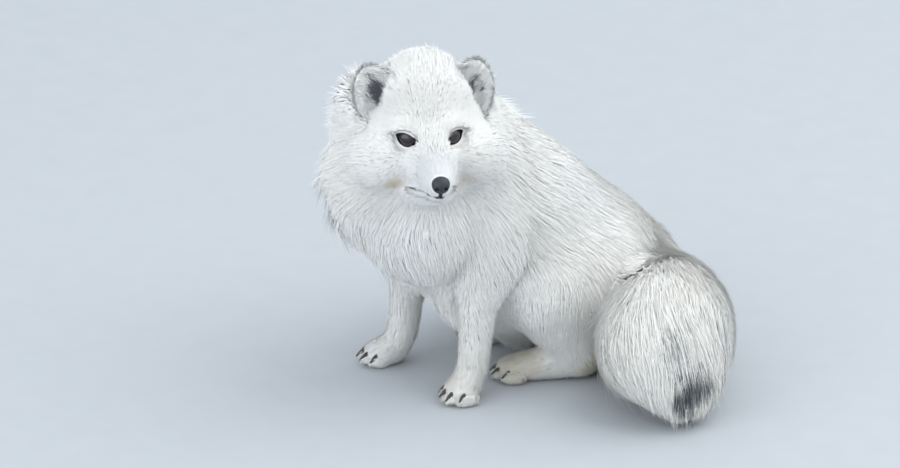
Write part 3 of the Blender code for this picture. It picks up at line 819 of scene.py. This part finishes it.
CLAW_LENGTH, CLAW_THICK = 9.0, 2.7
CLAW_SIDES = 10
horn = Finish("claw_horn", Roughness=0.35, Coat_Weight=0.2)
streak = horn.noise(horn.place(stretch=(1, 1, 0.3)), 900, 2)
horn.set(Base_Color=horn.mix(streak, (0.016, 0.014, 0.016), (0.060, 0.050, 0.048)))
for foot, (x, y) in TOES_POINT.items():
    way = Vector((x, y, 0)).normalized()
    side = Vector((-way.y, way.x, 0))
    nails = bmesh.new()
    for number, aside in enumerate((-14.5, -5.2, 5.2, 14.5), 1):
        low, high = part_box(f"claw_{foot}_{number}")
        splay = (way + side * aside * 0.018).normalized()
        across = splay.cross(UP).normalized()
        root = Vector(((low.x + high.x) / 2, (low.y + high.y) / 2, 13.0 * MM)) - splay * 4.6 * MM
        loops = []
        for t in (0.0, 0.15, 0.3, 0.45, 0.6, 0.75, 0.88, 0.96):
            size = CLAW_THICK * (1 - 0.8 * t ** 2) * MM
            centre = root + (splay * CLAW_LENGTH * t - UP * (0.2 * t + 0.35 * t ** 2) * CLAW_LENGTH) * MM
            loops.append([nails.verts.new(centre + across * size * 0.8 * math.cos(a)
                                          + UP * size * 1.2 * math.sin(a))
                          for a in [math.tau * k / CLAW_SIDES for k in range(CLAW_SIDES)]])
        for lower, upper in zip(loops, loops[1:]):
            for k in range(CLAW_SIDES):
                after = (k + 1) % CLAW_SIDES
                nails.faces.new((lower[k], lower[after], upper[after], upper[k]))
        nails.faces.new(loops[0])
        nails.faces.new(loops[-1])
    bmesh.ops.recalc_face_normals(nails, faces=nails.faces)
    mesh = bpy.data.meshes.new(f"claws_{foot}")
    nails.to_mesh(mesh)
    nails.free()
    claws = new_piece(f"claws_{foot}", mesh)
    claws.data.shade_smooth()
    claws.data.materials.append(horn.material)
    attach(claws, "root")
    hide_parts(*[f"claw_{foot}_{number}" for number in (1, 2, 3, 4)])


# ---------------------------------------------------------------- coat
# Thousands of thin tapered tufts of hair, each a closed three-sided sliver rooted in the skin, laid along
# the lie of the coat and overlapping down the body. Their tips draw together in small locks. Each region is
# a piece of its own.

points = points_of(skin.data)
skin_normals = normals_of(skin.data)
edges = edges_of(skin.data)
skin.data.calc_loop_triangles()
corners = np.empty(len(skin.data.loop_triangles) * 3, np.int64)
skin.data.loop_triangles.foreach_get("vertices", corners)
corners = corners.reshape(-1, 3)

# The room between the skin and the coat's outer surface.
thick = nearness(points) @ guide_sizes[:, 0]
reach = [outer.ray_cast(point, normal, 0.08)[3]
         for point, normal in zip(points.tolist(), skin_normals.tolist())]
room = np.array([thick[k] if gap is None else gap for k, gap in enumerate(reach)])
room = relaxed(np.clip(room, 0.5 * thick, 1.5 * thick)[:, None], edges, 0.5, 4)[:, 0]

# A flattened pattern of a plain copy of the skin gives each tuft its place for baked colours.
pattern = new_piece("pattern", skin.data.copy())
worked(pattern, "DECIMATE", ratio=0.03)
only(pattern)
bpy.ops.object.mode_set(mode="EDIT")
bpy.ops.mesh.select_all(action="SELECT")
bpy.ops.uv.smart_project(angle_limit=math.radians(66), island_margin=0.003)
bpy.ops.object.mode_set(mode="OBJECT")
pattern.data.calc_loop_triangles()
pattern_faces = np.array([t.vertices[:] for t in pattern.data.loop_triangles])
pattern_loops = np.array([t.loops[:] for t in pattern.data.loop_triangles])
pattern_points = points_of(pattern.data)
pattern_uv = np.empty(len(pattern.data.loops) * 2)
pattern.data.uv_layers.active.data.foreach_get("uv", pattern_uv)
pattern_uv = pattern_uv.reshape(-1, 2)
pattern_tree = BVHTree.FromPolygons([Vector(p) for p in pattern_points],
                                    [tuple(f) for f in pattern_faces.tolist()])
bpy.data.objects.remove(pattern, do_unlink=True)


def pattern_place(roots):
    found = np.array([pattern_tree.find_nearest(root)[2] for root in roots.tolist()])
    a, b, c = [pattern_points[pattern_faces[found, k]] for k in range(3)]
    ab, ac, ap = b - a, c - a, roots - a
    d00, d01, d11 = (ab * ab).sum(1), (ab * ac).sum(1), (ac * ac).sum(1)
    d20, d21 = (ap * ab).sum(1), (ap * ac).sum(1)
    spread = (d00 * d11 - d01 * d01).clip(1e-18)
    v = np.clip((d11 * d20 - d01 * d21) / spread, 0, 1)
    w = np.clip((d00 * d21 - d01 * d20) / spread, 0, 1 - v)
    flat = [pattern_uv[pattern_loops[found, k]] for k in range(3)]
    return (1 - v - w)[:, None] * flat[0] + v[:, None] * flat[1] + w[:, None] * flat[2]


fur = Finish("fur_white", Roughness=0.75, Specular_IOR_Level=0.2, Sheen_Weight=0.3, Sheen_Roughness=0.5)
# Painted shade: each tuft's colour darkens a little towards its root, where the hairs shade each other.
strand = fur.node("ShaderNodeSeparateXYZ", i0=fur.attribute("hair", 1))
shade = fur.node("ShaderNodeMapRange", {"interpolation_type": "SMOOTHSTEP"}, Value=strand,
                 From_Min=0.0, From_Max=0.5, To_Min=0.94, To_Max=1.0)
tone = fur.node("ShaderNodeMix", {"data_type": "RGBA", "blend_type": "MULTIPLY"}, output=2, i0=1.0,
                i6=fur.attribute("colour"), i7=fur.mix(shade, (0.0, 0.0, 0.0), (1.0, 1.0, 1.0)))
fur.set(Base_Color=tone)


def coat_piece(name, roots, places, facing, faces, along, tone):
    """One joined mesh of like tufts. Places and facing are (tufts, corners, 3)."""
    count, size = places.shape[:2]
    places[:, :, 2] = places[:, :, 2].clip(FLOOR_GAP)
    mesh = bpy.data.meshes.new(name)
    mesh.vertices.add(count * size)
    mesh.vertices.foreach_set("co", places.astype(np.float32).ravel())
    loops = np.array(faces).ravel()
    shifts = np.arange(count)[:, None]
    mesh.loops.add(count * len(loops))
    mesh.loops.foreach_set("vertex_index", (loops[None] + shifts * size).astype(np.int32).ravel())
    mesh.polygons.add(count * len(faces))
    mesh.polygons.foreach_set("loop_start", np.arange(0, count * len(loops), 3).astype(np.int32))
    mesh.update(calc_edges=True)
    patch = np.array([[0.5 if along[c] in (0, 1) and size > 4 else c % 3 / 2, along[c]]
                      for c in range(size)]) * 0.003
    flat = (pattern_place(roots)[:, None] + patch[None])[:, loops]
    mesh.uv_layers.new(name="OFBake").data.foreach_set("uv", flat.astype(np.float32).ravel())
    rgba = np.ones((count, size, 4), np.float32)
    rgba[:, :, :3] = tone if tone.ndim == 3 else tone[:, None]
    mesh.attributes.new("colour", "FLOAT_COLOR", "POINT").data.foreach_set("color", rgba.ravel())
    hair_data = np.zeros((count, size, 3), np.float32)
    hair_data[:, :, 0] = np.array(along)[None]
    mesh.attributes.new("hair", "FLOAT_VECTOR", "POINT").data.foreach_set("vector", hair_data.ravel())
    mesh.shade_smooth()
    mesh.normals_split_custom_set_from_vertices(unit(facing).reshape(-1, 3).astype(np.float32))
    piece = new_piece(name, mesh)
    mesh.materials.append(fur.material)
    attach(piece, "root")


FLOOR_GAP = 0.6 * MM
ROOT_DEPTH = 0.5
RING_TURNS = np.array([math.pi / 2, math.pi * 7 / 6, math.pi * 11 / 6])
LONG_FACES = ((0, 2, 1), (0, 3, 2), (0, 1, 3), (1, 2, 4), (2, 3, 4), (3, 1, 4))
SHORT_FACES = ((2, 1, 0), (0, 1, 3), (1, 2, 3), (2, 0, 3))


def ring(centre, way, facing, width):
    """Three corners round a tuft, flattened against the coat, and the way each faces."""
    side = unit(np.cross(way, facing))
    over = np.cross(side, way)
    turn, rise = np.cos(RING_TURNS)[None, :, None], np.sin(RING_TURNS)[None, :, None]
    around = side[:, None] * turn - over[:, None] * rise
    flat = side[:, None] * turn - 0.5 * over[:, None] * rise
    return centre[:, None] + flat * width[:, None, None] / 2, around


def short_tufts(name, roots, normal, way, length, width, rise, tone):
    """Straight tapered spikes, laid back along the skin."""
    slope = np.clip(rise / length, 0.05, 0.9)[:, None]
    along = unit(way * np.sqrt(1 - slope ** 2) + normal * slope)
    low, around = ring(roots - normal * ROOT_DEPTH * MM, along, normal, width)
    places = np.concatenate([low, (roots + along * length[:, None])[:, None]], 1)
    soft = np.concatenate([around[:, :1], 0.84 * normal[:, None] + 0.16 * around[:, 1:]], 1)
    facing = np.concatenate([soft, normal[:, None]], 1)
    coat_piece(name, roots, places, facing, SHORT_FACES, [0, 0, 0, 1], tone)


def long_tufts(name, roots, knee, knee_facing, tip, tip_facing, width, tone, trust):
    """Spindles that rise from the skin to a knee under the coat's surface, and lie along it to the tip."""
    middle, around = ring(knee, unit(tip - knee), knee_facing, width)
    low_way = unit(knee - roots)
    low_facing = unit(np.cross(unit(np.cross(low_way, knee_facing)), low_way) + 0.3 * knee_facing)
    places = np.concatenate([roots[:, None], middle, tip[:, None]], 1)
    soft = trust[:, None, None] * knee_facing[:, None] + (1 - trust)[:, None, None] * around
    soft[:, 0] = around[:, 0]
    facing = np.concatenate([low_facing[:, None], soft, tip_facing[:, None]], 1)
    coat_piece(name, roots, places, facing, LONG_FACES, [0, 0.4, 0.4, 0.4, 1], tone)


# Roots are scattered over the skin, closer together where the fur is short and fine.
COAT_TRIANGLES = 1.38e6
LONG_FROM = 6.5 * MM
LOCK_PULL = 0.12
UNDER_WIDTH = 3.6
dice = np.random.default_rng(11)
middles = points[corners].mean(1)
spans = np.cross(points[corners[:, 1]] - points[corners[:, 0]], points[corners[:, 2]] - points[corners[:, 0]])
areas = np.linalg.norm(spans, axis=1) / 2
share = nearness(middles)
wanted = areas * (share @ guide_crowd)
wanted *= np.where(ear_height[corners].min(1) >= 0.05, 2.2, 1)
for hand in HANDS:
    beside = distance(middles, EAR_FOOT[hand] + EAR_AXES[hand][1] * 14 * MM)
    wanted *= 1 + 0.9 * fade(beside, 22 * MM, 40 * MM)
wanted *= COAT_TRIANGLES / (wanted * np.where(share @ guide_sizes[:, 1] > LONG_FROM, 6, 4)).sum()
amount = int(wanted.sum() * (1))
chosen = dice.choice(len(corners), amount, p=wanted / wanted.sum())
u, v = dice.uniform(size=(2, amount, 1))
fold = u + v > 1
u, v = np.where(fold, 1 - u, u), np.where(fold, 1 - v, v)


def spread_over(values):
    a, b, c = [values[corners[chosen, k]] for k in range(3)]
    return a * (1 - u - v) + b * u + c * v


roots = spread_over(points)
normal = unit(spread_over(skin_normals))
height = spread_over(room[:, None])[:, 0]
ear_up = spread_over(np.where(ear_height >= 0, ear_height, -0.3)[:, None])[:, 0]
ear_side = spread_over(ear_across[:, None])[:, 0]
forward = spread_over(ears_forward[:, None].astype(float))[:, 0] > 0.5

# Bare places: between the lids, under the nose pad and along the lips. The soles rest on the floor.
outside = beyond_lids(roots)
nose_gap = (roots - np.array(NOSE)) @ axes.T / (np.array([9.2, 10.4, 10.2]) * MM)
gap, along = lip_distance(roots)
inward = np.any([(local[:, 1] < -0.35 * LID_WIDTH) & (gap < 3.0 * MM)
                 for local, gap in (lid_place(roots, hand) for hand in HANDS)], axis=0)
bare = (outside < 1.1 * MM) | inward | (np.linalg.norm(nose_gap, axis=1) < 1)
bare |= (gap < 1.0 * MM) & (along < 0.8)
bare |= (roots[:, 2] < 1.5 * MM) & (normal[:, 2] < -0.6)
roots, normal, height, ear_up, ear_side, forward = [
    values[~bare] for values in (roots, normal, height, ear_up, ear_side, forward)]
amount = len(roots)


def laid(places, facing):
    """The way the fur runs at these places, along a surface that faces so."""
    way = unit(nearness(places) @ guide_run)
    way += 0.09 * np.stack([ripple(places + shift, 0.045) for shift in (0.0, 0.37, 0.71)], 1)
    return unit(way - (way * facing).sum(1)[:, None] * facing)


share = nearness(roots)
sizes = share @ guide_sizes
region = guide_region[share.argmax(1)]
eye_gap, lip_gap = outside[~bare], gap[~bare]
cropped = smoothstep(eye_gap, 1 * MM, 9 * MM)
cropped = cropped * smoothstep(np.where(along[~bare] < 0.8, lip_gap, 1), 1 * MM, 9 * MM)
length = sizes[:, 1] * dice.uniform(0.75, 1.1, amount) * (0.35 + 0.65 * cropped)
width = sizes[:, 2] * dice.uniform(0.75, 1.2, amount)
chance = dice.uniform(size=amount)
on_ear = ear_up > 0.10
long = (length > LONG_FROM * dice.uniform(0.8, 1.25, amount)) & ~on_ear & (cropped > 0.5)

# Long tufts rise to the coat's surface and follow it. Guard hairs stand out in loose bunches everywhere but
# on the face, most clearly on the ruff, the cheeks and the crown.
way = laid(roots, normal) + dice.normal(size=(amount, 3)) * 0.08
for hand in HANDS:
    near = fade(lid_place(roots, hand)[1], 3 * MM, 9 * MM)
    outward = unit(roots - np.array(eye_centres[hand] + GAZE[hand][0] * EYE_RADIUS))
    way += 1.6 * near[:, None] * outward
way = unit(way - (way * normal).sum(1)[:, None] * normal)
for _ in range(2):
    ends = roots + way * length[:, None]
    crossing = beyond_lids(ends) < 1.6 * MM
    length[crossing] *= 0.5
    long &= ~crossing
gone = beyond_lids(roots + way * length[:, None]) < 1.0 * MM
part = np.nonzero(long)[0]
high, reach = height[part][:, None], length[part][:, None]
wished = roots[part] + normal[part] * 0.9 * high + way[part] * 0.32 * reach
knee, knee_facing = on_coat(wished)
astray = (knee_facing * normal[part]).sum(1) < 0.35
astray |= ((knee - roots[part]) * normal[part]).sum(1) < 0.25 * high[:, 0]
astray |= np.linalg.norm(knee - wished, axis=1) > 0.7 * high[:, 0] + 3 * MM
off_course = astray.copy()
knee[astray] = (roots[part] + normal[part] * 0.6 * high + way[part] * 0.32 * reach)[astray]
knee_facing[astray] = normal[part][astray]
knee -= knee_facing * np.minimum(0.26 * high, 3.6 * MM) * dice.uniform(0.25, 1.0, (len(part), 1))
shy = 0.6 * high * fade(eye_gap[part], 5 * MM, 16 * MM)[:, None]
knee -= knee_facing * shy
lie = unit(laid(knee, knee_facing) + dice.normal(size=(len(part), 3)) * 0.07)
tip, tip_facing = on_coat(knee + lie * 0.64 * reach)
astray = (tip_facing * knee_facing).sum(1) < 0.35
astray |= np.linalg.norm(tip - knee, axis=1) < 0.35 * reach[:, 0]
astray |= off_course
tip[astray] = (knee + lie * 0.4 * reach)[astray]
tip_facing[astray] = knee_facing[astray]
off_course = astray
lift = dice.uniform(-0.02, 0.045, (len(part), 1)) * np.minimum(reach, 40 * MM)
lift += 3.4 * MM * dice.uniform(0, 1, (len(part), 1)) ** 2.5 * np.clip(reach / (13 * MM), 0, 1)
STANDING = {"ruff": 0.17, "cheeks": 0.10, "crown": 0.12, "throat": 0.06, "face": 0.0}
STANDING |= {"tail_root": 0.15, "tail_brush": 0.15, "tail_tip": 0.06}
standing = np.array([STANDING.get(name, 0.25) for name in REGIONS])[region[part]]
bunch = smoothstep(ripple(tip, 0.010), -0.4, 0.9)
guard = (dice.uniform(size=len(part)) < standing * (0.25 + 1.5 * bunch)) & ~off_course
for hand in HANDS:
    guard &= distance(tip, EAR_FOOT[hand].lerp(EAR_TIP[hand], 0.4)) > 38 * MM
strong = np.where((standing < 0.2) & (roots[part][:, 1] < body(0, 20, 0).y), 1.0, 0.28)[guard, None]
lift[guard] = (strong * (0.14 + 0.20 * bunch[guard, None]) * reach[guard]
               * dice.uniform(0.5, 1.1, (guard.sum(), 1)))
tip[guard] += lie[guard] * 0.10 * reach[guard]
knee[guard] += knee_facing[guard] * 0.08 * high[guard]
tip += tip_facing * (lift - 0.6 * shy)
hang = fade(distance(tip, body(25, -10, 34)), 18 * MM, 44 * MM)
tip[:, 2] -= 16 * MM * hang * dice.uniform(0.2, 1.0, len(part))
slim = np.where(guard, 0.68, 1.0) * width[part]
leaders = dice.choice(len(part), len(part) // 7, replace=False)
tree = KDTree(len(leaders))
for index, leader in enumerate(leaders):
    tree.insert(knee[leader], index)
tree.balance()
led_by = leaders[[tree.find(place)[1] for place in knee.tolist()]]
drawn = (LOCK_PULL * dice.uniform(0.4, 1.3, len(part)))[:, None]
tip = tip + (tip[led_by] - tip) * drawn
under = leaders[::2]
under = under[~off_course[under] & (reach[under, 0] > 22 * MM)]
slim[under] = UNDER_WIDTH * width[part][under]
sunk = np.minimum(0.12 * high[under], 1.5 * MM)
knee[under] -= knee_facing[under] * sunk
tip[under] -= tip_facing[under] * (sunk + lift[under].clip(0))
middle = 0.45 * knee + 0.55 * tip
tones = markings_and_shade(middle, chance[part]) * dice.uniform(0.965, 1.02, (len(part), 1))
dark = ear_smoke(middle) * (dice.uniform(size=len(part)) < 0.8)
tones = painted((0.08, 0.08, 0.10), tones, 0.9 * dark)
base = roots[part] - normal[part] * ROOT_DEPTH * MM
trust = np.where(off_course, 0.55, 0.86)
knee_facing = unit(knee_facing + 0.12 * normal[part])
tip_facing = unit(tip_facing + 0.10 * normal[part])
for index, name in enumerate(REGIONS):
    picked = np.nonzero(region[part] == index)[0]
    if not len(picked):
        continue
    picked = picked[np.argsort(base[picked, 2])]
    long_tufts(f"coat_{name}", base[picked], knee[picked], knee_facing[picked], tip[picked],
               tip_facing[picked], slim[picked], tones[picked], trust[picked])

# Short tufts on the face, the legs and the feet.
rise = np.maximum(height * dice.uniform(0.65, 1.0, amount) * (0.32 + 0.68 * cropped), 0.26 * length)
width *= 0.6 + 0.4 * cropped
surface = roots + normal * rise[:, None]
for index, name in enumerate(REGIONS):
    picked = (region == index) & ~long & ~on_ear & ~gone
    if picked.sum() < 20:
        continue
    tones = markings_and_shade(surface[picked], chance[picked]) * dice.uniform(0.965, 1.02, (picked.sum(), 1))
    tones = np.repeat(tones[:, None], 4, axis=1)
    by_lip = np.nonzero(lip_gap[picked] < 7 * MM)[0]
    if len(by_lip):
        ends = (roots + way * length[:, None])[picked][by_lip]
        tones[by_lip, 3] = painted(BLACK, tones[by_lip, 3], lip_ink(*lip_distance(ends)))
        low_ink = lip_ink(lip_gap[picked][by_lip], along[~bare][picked][by_lip])
        for corner in range(3):
            tones[by_lip, corner] = painted(BLACK, tones[by_lip, corner], low_ink)
    short_tufts(f"coat_{name}_fine", roots[picked], normal[picked], way[picked], length[picked],
                width[picked], rise[picked], tones)

# Ears: short white fur behind and along the rims, and longer hair in the cup, smoky in its hollow.
for hand, side in HANDS.items():
    rise_way, outward_way = [np.array(v) for v in EAR_AXES[hand][:2]]
    this_ear = on_ear & on_side(roots, side)
    for label, picked in (("back", this_ear & ~forward), ("cup", this_ear & forward)):
        count = picked.sum()
        tone = np.tile(WHITE, (count, 1)) * dice.uniform(0.94, 1.01, (count, 1))
        if label == "cup":
            ear_lie = np.tile(-rise_way * 0.6 - outward_way * 0.7, (count, 1))
            ear_lie = ear_lie + rise_way * 0.35 * dice.normal(size=(count, 1))
            reach, high = 13 * MM, 4.5 * MM
            fringe = smoothstep(np.minimum(ear_side, 1 - ear_side)[picked], 0.03, 0.14)
            fringe *= fade(ear_up[picked], 0.74, 0.88)
            dark = fringe * ear_smoke(roots[picked] + unit(ear_lie) * 4 * MM)
            tone = painted((0.065, 0.065, 0.085), tone, (dice.uniform(size=count) < 1.15 * dark) * 0.93)
        else:
            ear_lie = rise_way + outward_way * 0.9 * (0.5 - ear_side[picked])[:, None]
            reach, high = 8 * MM, 2.8 * MM
        ear_lie = ear_lie - (ear_lie * normal[picked]).sum(1)[:, None] * normal[picked]
        ear_lie = unit(unit(ear_lie) + dice.normal(size=(count, 3)) * 0.16)
        short_tufts(f"coat_ear_{hand}_{label}", roots[picked], normal[picked], ear_lie,
                    reach * dice.uniform(0.7, 1.15, count), 0.85 * MM * dice.uniform(0.7, 1.1, count),
                    high * dice.uniform(0.5, 1.0, count), tone)


# ---------------------------------------------------------------- floor and light
# A plain pale floor, a wide soft light high on the left, a weaker one on the right, and an even pale sky.

bpy.ops.object.select_all(action="DESELECT")
bpy.ops.mesh.primitive_plane_add(size=60)
floor = bpy.context.object
floor.name = "floor"
paint = Finish("floor_paint", Roughness=0.9, Specular_IOR_Level=0.2)
paint.set(Base_Color=paint.mix(paint.noise(paint.place(), 30, 2), (0.46, 0.49, 0.525), (0.49, 0.52, 0.555)))
floor.data.materials.append(paint.material)


def soft_light(name, position, size, power, colour):
    lamp = bpy.data.lights.new(name, "AREA")
    lamp.shape = "DISK"
    lamp.size, lamp.energy, lamp.color = size, power, colour
    light = bpy.data.objects.new(name, lamp)
    light.location = position
    light.rotation_euler = (Vector(position) - body(0, 0, 160)).to_track_quat("Z", "Y").to_euler()
    bpy.context.scene.collection.objects.link(light)


soft_light("key", (1.6, 1.8, 3.0), 5.0, 92, (1.0, 0.995, 0.98))
soft_light("fill", (0.3, -3.2, 0.8), 3.6, 50, (0.97, 0.985, 1.0))
sky = bpy.data.worlds.new("sky")
sky.use_nodes = True
sky.node_tree.nodes["Background"].inputs["Color"].default_value = (0.88, 0.93, 0.97, 1)
sky.node_tree.nodes["Background"].inputs["Strength"].default_value = 1.08
bpy.context.scene.world = sky
bpy.context.scene.view_settings.view_transform = "Standard"
